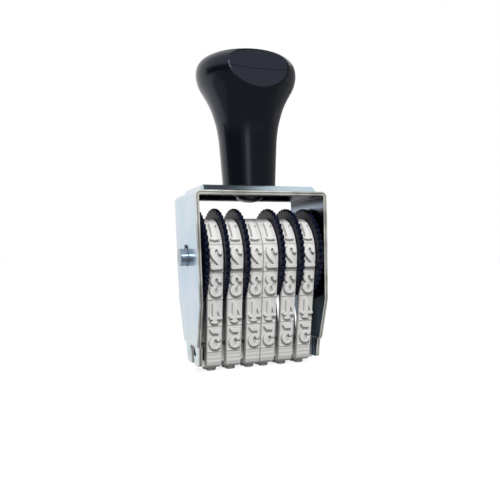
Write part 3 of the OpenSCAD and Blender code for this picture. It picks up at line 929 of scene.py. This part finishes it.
def build_band(i):
    x0, side = wheel_start(i)
    step = sizes().band_grid / MM
    xs, base, painted_shade = (np.array(column) for column in zip(*band_section(step)))
    rows, n = round(2 * HALF_LOOP / step), len(xs)
    ss = np.array([-HALF_LOOP + 2 * HALF_LOOP * k / rows for k in range(rows)])
    grid_x, grid_s = np.meshgrid(xs, ss)
    relief = band_relief(grid_x, grid_s) * (base == 0.0)
    place = np.array([band_place(s) for s in ss])
    height = relief + base
    points = np.empty((rows, n, 3))
    points[:, :, 0] = grid_x + side * (x0 + BAND_W / 2)
    points[:, :, 1] = place[:, 0:1] + place[:, 2:3] * height
    points[:, :, 2] = place[:, 1:2] + place[:, 3:4] * height
    a = np.arange(rows * n).reshape(rows, n)
    b = np.roll(a, -1, 1)
    quads = np.stack([a, b, np.roll(b, -1, 0), np.roll(a, -1, 0)], -1).reshape(-1, 4)
    mesh = bpy.data.meshes.new("band_%d_rubber" % i)
    mesh.from_pydata((points.reshape(-1, 3) * MM).tolist(), [], quads.tolist())
    level = mesh.attributes.new("relief", "FLOAT", "POINT")
    # The relief attribute picks the painted shade: the digits' height share, or the band edges' share
    # where that is more
    shade = np.maximum(relief / RELIEF, painted_shade)
    level.data.foreach_set("value", shade.astype(np.float32).ravel())
    mesh.polygons.foreach_set("use_smooth", [True] * len(mesh.polygons))
    mesh.update()
    place_piece(mesh, [band_rubber()], BODY, ["band_%d" % i])


# ------ handle ------


# Outline of the handle from its foot to the seam, as (radius, height)
KNOB = [(5.42, PANEL_Z), (5.45, 37.7), (5.6, 40.6), (5.78, 43.8), (6.0, 47.0), (6.35, 49.4),
        (6.76, 51.0), (7.26, 52.6), (7.96, 54.2), (8.86, 55.8), (9.35, 56.6), (9.72, 57.4),
        (9.96, 58.2), (10.07, 58.8), (KNOB_R, SEAM_Z)]


def smooth_curve(points, steps=8):
    """Catmull-Rom curve through the points."""
    pts = [Vector(p) for p in points]
    pts = [2 * pts[0] - pts[1]] + pts + [2 * pts[-1] - pts[-2]]
    out = []
    for p0, p1, p2, p3 in zip(pts, pts[1:], pts[2:], pts[3:]):
        for k in range(steps):
            t = k / steps
            out.append(tuple(0.5 * (2 * p1 + (p2 - p0) * t
                                    + (2 * p0 - 5 * p1 + 4 * p2 - p3) * t * t
                                    + (3 * p1 - p0 - 3 * p2 + p3) * t ** 3)))
    return out + [tuple(pts[-2])]


def flatten_front(bm):
    """Presses what stands in front of the knob's flat front back onto its plane. The
    groove of the seam carries on across the flat."""
    normal = Vector((0, -math.cos(FACET_LEAN), math.sin(FACET_LEAN)))
    on_plane = FACET_Y + normal.z * SEAM_Z
    soft = sizes().facet_edge / MM
    for v in bm.verts:
        groove = SEAM_GROOVE if abs(v.co.z - SEAM_Z) < 2 * SEAM_GAP else 0.0
        over = v.co @ normal - on_plane + groove
        if v.co.z > FACET_START and over > -soft:
            v.co -= normal * (over if over > soft else (over + soft) ** 2 / (4 * soft))


def build_handle():
    bm = bmesh.new()
    flank = smooth_curve(KNOB, 12)
    foot_r = 5.3
    lathe(bm, [(0.0, PANEL_Z), (foot_r, PANEL_Z)] + flank[1:-1]
          + [(KNOB_R, SEAM_Z - SEAM_GROOVE), (KNOB_R - SEAM_GROOVE, SEAM_Z), (SEAT_R, SEAM_Z),
             (0.0, SEAM_Z)], "Z", 20)
    flatten_front(bm)
    finish_piece("handle_knob", bm, [polished_plastic()], BODY, ["handle_body"],
                 sharp=40)


def build_cap():
    """The dome is an ellipse drawn squarer, by one power across and another upwards."""
    bm = bmesh.new()
    across, upwards = 2 / 3.3, 2 / 2.6
    rise, seat = TOTAL_H - SEAM_Z, SEAM_Z + SEAM_GAP
    dome = [(KNOB_R * math.cos(a) ** across, SEAM_Z + rise * math.sin(a) ** upwards)
            for a in (math.pi / 2 * (k / 60) ** 1.5 for k in range(1, 60))]
    lathe(bm, [(0.0, seat), (SEAT_R, seat), (KNOB_R - SEAM_GROOVE, seat),
               (KNOB_R, seat + SEAM_GROOVE)] + dome + [(0.0, TOTAL_H)], "Z", 20)
    flatten_front(bm)
    finish_piece("handle_dome", bm, [polished_plastic()], BODY, ["handle_cap"],
                 sharp=40)


def build_screw():
    seat = PANEL_Z - SHEET_T - WASHER_T
    head_r, head_h, rim_h, shank_r, length = 2.8, 1.6, 0.35, 1.5, 12
    dome = [(head_r * math.sin(a), seat - rim_h - (head_h - rim_h) * math.cos(a))
            for a in (math.pi / 2 * k / 12 for k in range(13))]
    bm = bmesh.new()
    lathe(bm, dome + [(head_r, seat - 0.02), (shank_r, seat), (shank_r, seat + length),
                      (0.0, seat + length)], "Z")
    # The dark steel paints the shade under the top plate
    finish_piece("handle_screw_pan", bm, [dark_shade_steel()], BODY, ["handle_screw"])


def build_washer():
    low, high, bore, radius = PANEL_Z - SHEET_T - WASHER_T, PANEL_Z - SHEET_T, 1.53, 3.5
    bm = bmesh.new()
    lathe(bm, rounded_profile([(bore, low), (radius, low), (radius, high), (bore, high)], 0.08),
          "Z", closed=True)
    # The dark steel paints the shade under the top plate
    finish_piece("screw_washer_ring", bm, [dark_shade_steel()], BODY, ["screw_washer"])


# ------ stage ------


def aimed(ob, centre, target):
    bpy.context.scene.collection.objects.link(ob)
    ob.location = centre
    ob.rotation_mode = "QUATERNION"
    ob.rotation_quaternion = (Vector(target) - Vector(centre)).to_track_quat("-Z", "Y")
    return ob


def soft_light(name, centre, target, size, strength):
    """An area light of the given size in metres, kept out of reflections."""
    lamp = bpy.data.lights.new(name, "AREA")
    lamp.shape = "RECTANGLE"
    lamp.size, lamp.size_y = size
    lamp.energy = strength
    aimed(bpy.data.objects.new(name, lamp), centre, target).visible_glossy = False


def card(name, centre, target, size, strength):
    """A plain card that only reflections show, black where its strength is 0."""
    mesh = bpy.data.meshes.new(name)
    x, y = size[0] / 2, size[1] / 2
    mesh.from_pydata([(-x, -y, 0), (x, -y, 0), (x, y, 0), (-x, y, 0)], [], [(0, 1, 2, 3)])
    mat = bpy.data.materials.new(name)
    mat.use_nodes = True
    tree = mat.node_tree
    tree.nodes.clear()
    glow = add_node(tree, "ShaderNodeEmission", {"Strength": strength})
    add_node(tree, "ShaderNodeOutputMaterial", {"Surface": glow.outputs[0]})
    mesh.materials.append(mat)
    ob = aimed(bpy.data.objects.new(name, mesh), centre, target)
    ob.visible_camera = ob.visible_diffuse = ob.visible_shadow = False
    ob.visible_transmission = False


def build_world():
    """White where it is seen, and a weak even fill on what is lit."""
    world = bpy.data.worlds.new("Studio")
    bpy.context.scene.world = world
    world.use_nodes = True
    tree = world.node_tree
    tree.nodes.clear()
    strength = add_node(tree, "ShaderNodeMapRange", {
        "Value": seen_ray(tree), "To Min": 0.26, "To Max": 1.0})
    sky = add_node(tree, "ShaderNodeBackground", {
        "Color": tint("#FFFFFF"), "Strength": strength.outputs["Result"]})
    add_node(tree, "ShaderNodeOutputWorld", {"Surface": sky.outputs[0]})


def build_floor():
    mesh = bpy.data.meshes.new("floor")
    mesh.from_pydata([(-3, -3, 0), (3, -3, 0), (3, 3, 0), (-3, 3, 0)], [], [(0, 1, 2, 3)])
    floor = bpy.data.objects.new("floor", mesh)
    bpy.context.scene.collection.objects.link(floor)
    floor.location.z = -0.05 * MM
    mesh.materials.append(studio_paper())


# Middle of the object, which lamps and cards face, in metres
AIM = (0, 0, 0.03)

# Cards as name, centre, target, size in metres and strength. The dark ones are the room
# and the table that polished metal shows. The window and the strip draw the highlights.
CARDS = [
    ("dark_room", (-0.02, -0.55, 0.05), AIM, (1.3, 0.34), 0.27),
    ("dark_left", (-0.55, -0.1, 0.05), AIM, (0.85, 0.34), 0.1),
    ("dark_right", (0.5, -0.2, 0.1), AIM, (0.7, 0.7), 0.3),
    ("dark_far_right", (0.35, 0.25, 0.12), AIM, (0.4, 0.25), 0.3),
    ("dark_back", (0.14, 0.28, -0.01), (0, 0, -0.01), (0.36, 0.1), 0.0),
    ("dark_table", (0, -0.23, 0.001), (0, -0.23, 0.1), (1.0, 0.436), 0.3),
    ("table_left", (-0.27, 0.015, 0.001), (-0.27, 0.015, 0.1), (0.46, 0.06), 0.5),
    ("table_right", (0.27, 0.1, 0.001), (0.27, 0.1, 0.1), (0.46, 0.22), 0.3),
    ("dark_ceiling", (0.022, 0.0, 0.137), (0.022, 0.0, 0), (0.032, 0.2), 0.0),
    ("window", (-0.18, -0.50, 0.08), (0, 0, 0.045), (0.15, 0.22), 1.5),
    ("strip", (-0.17, -0.60, 0.31), AIM, (0.13, 0.22), 15.0),
]


def build_lights():
    soft_light("key", (-0.12, -0.42, 0.35), AIM, (0.2, 0.2), 3.0)
    soft_light("back", (0.05, 0.30, 0.42), AIM, (0.4, 0.4), 1.8)
    for name, centre, target, size, strength in CARDS:
        card(name, centre, target, size, strength)


def build_camera():
    """The photo's camera: in front, a little to the left, looking slightly down."""
    place = Vector((-43.82, -126.51, 24.44)) * MM
    yaw, pitch, roll = math.radians(23.26), math.radians(-7.14), math.radians(-1.16)
    forward = Vector((math.sin(yaw) * math.cos(pitch), math.cos(yaw) * math.cos(pitch),
                      math.sin(pitch)))
    level = Vector((math.cos(yaw), -math.sin(yaw), 0))
    upright = level.cross(forward)
    right = math.cos(roll) * level + math.sin(roll) * upright
    up = -math.sin(roll) * level + math.cos(roll) * upright
    lens = bpy.data.cameras.new("camera")
    lens.sensor_width = 36
    lens.lens = 45.298
    lens.shift_x, lens.shift_y = -0.0971, 0.1564
    lens.clip_start, lens.clip_end = 0.01, 20
    eye = bpy.data.objects.new("camera", lens)
    bpy.context.scene.collection.objects.link(eye)
    eye.matrix_world = Matrix.Translation(place) @ Matrix((right, up, -forward)).transposed().to_4x4()
    bpy.context.scene.camera = eye


def build_stage():
    bpy.context.scene.view_settings.view_transform = "Standard"
    build_world()
    build_floor()
    build_lights()
    build_camera()


# ------ operators ------


class STAMP_OT_frame(bpy.types.Operator):
    """Builds the bent zinc-plated frame with its pressed panel"""
    bl_idname = "stamp.frame"
    bl_label = "Frame"
    bl_options = {"REGISTER", "UNDO"}

    def execute(self, context):
        build_frame()
        return {"FINISHED"}


class STAMP_OT_bridge(bpy.types.Operator):
    """Builds the bridge that carries the bands at the bottom"""
    bl_idname = "stamp.bridge"
    bl_label = "Bridge"
    bl_options = {"REGISTER", "UNDO"}

    def execute(self, context):
        build_bridge()
        return {"FINISHED"}


class STAMP_OT_axle(bpy.types.Operator):
    """Builds the axle of the setting wheels"""
    bl_idname = "stamp.axle"
    bl_label = "Axle"
    bl_options = {"REGISTER", "UNDO"}

    def execute(self, context):
        build_axle()
        return {"FINISHED"}


class STAMP_OT_clips(bpy.types.Operator):
    """Builds the retaining clips and the spacer washers"""
    bl_idname = "stamp.clips"
    bl_label = "Clips and spacers"
    bl_options = {"REGISTER", "UNDO"}

    def execute(self, context):
        build_clips()
        build_spacers()
        return {"FINISHED"}


class STAMP_OT_wheels(bpy.types.Operator):
    """Builds the six knurled setting wheels"""
    bl_idname = "stamp.wheels"
    bl_label = "Setting wheels"
    bl_options = {"REGISTER", "UNDO"}

    def execute(self, context):
        build_wheels()
        return {"FINISHED"}


class STAMP_OT_bands(bpy.types.Operator):
    """Builds the six endless rubber bands with their digits"""
    bl_idname = "stamp.bands"
    bl_label = "Number bands"
    bl_options = {"REGISTER", "UNDO"}

    def execute(self, context):
        for i in range(1, 7):
            build_band(i)
        return {"FINISHED"}


class STAMP_OT_handle(bpy.types.Operator):
    """Builds the polished handle and its cap"""
    bl_idname = "stamp.handle"
    bl_label = "Handle"
    bl_options = {"REGISTER", "UNDO"}

    def execute(self, context):
        build_handle()
        build_cap()
        return {"FINISHED"}


class STAMP_OT_screw(bpy.types.Operator):
    """Builds the screw and washer under the handle"""
    bl_idname = "stamp.screw"
    bl_label = "Handle screw"
    bl_options = {"REGISTER", "UNDO"}

    def execute(self, context):
        build_screw()
        build_washer()
        return {"FINISHED"}


class STAMP_OT_stage(bpy.types.Operator):
    """Builds the floor, the lights and the camera"""
    bl_idname = "stamp.stage"
    bl_label = "Stage"
    bl_options = {"REGISTER", "UNDO"}

    def execute(self, context):
        build_stage()
        return {"FINISHED"}


OPERATORS = [
    STAMP_OT_frame,
    STAMP_OT_bridge,
    STAMP_OT_axle,
    STAMP_OT_clips,
    STAMP_OT_wheels,
    STAMP_OT_bands,
    STAMP_OT_handle,
    STAMP_OT_screw,
    STAMP_OT_stage,
]


class STAMP_PT_panel(bpy.types.Panel):
    """Lists the steps that build the numbering machine"""
    bl_idname = "STAMP_PT_panel"
    bl_label = "Numbering machine"
    bl_space_type = "VIEW_3D"
    bl_region_type = "UI"
    bl_category = "Numbering machine"

    def draw(self, context):
        for group in (context.scene.stamp_sizes, context.scene.stamp_colours):
            for key in group.bl_rna.properties.keys():
                if key not in ("rna_type", "name"):
                    self.layout.prop(group, key)
        for cls in OPERATORS:
            self.layout.operator(cls.bl_idname)


CLASSES = [StampSizes, StampColours, *OPERATORS, STAMP_PT_panel]


def register():
    for cls in CLASSES:
        bpy.utils.register_class(cls)
    bpy.types.Scene.stamp_sizes = bpy.props.PointerProperty(type=StampSizes)
    bpy.types.Scene.stamp_colours = bpy.props.PointerProperty(type=StampColours)


def unregister():
    del bpy.types.Scene.stamp_colours
    del bpy.types.Scene.stamp_sizes
    for cls in reversed(CLASSES):
        bpy.utils.unregister_class(cls)


def main():
    register()
    bpy.ops.stamp.frame()
    bpy.ops.stamp.bridge()
    bpy.ops.stamp.axle()
    bpy.ops.stamp.clips()
    bpy.ops.stamp.wheels()
    bpy.ops.stamp.bands()
    bpy.ops.stamp.handle()
    bpy.ops.stamp.screw()
    bpy.ops.stamp.stage()


if __name__ == "__main__":
    main()
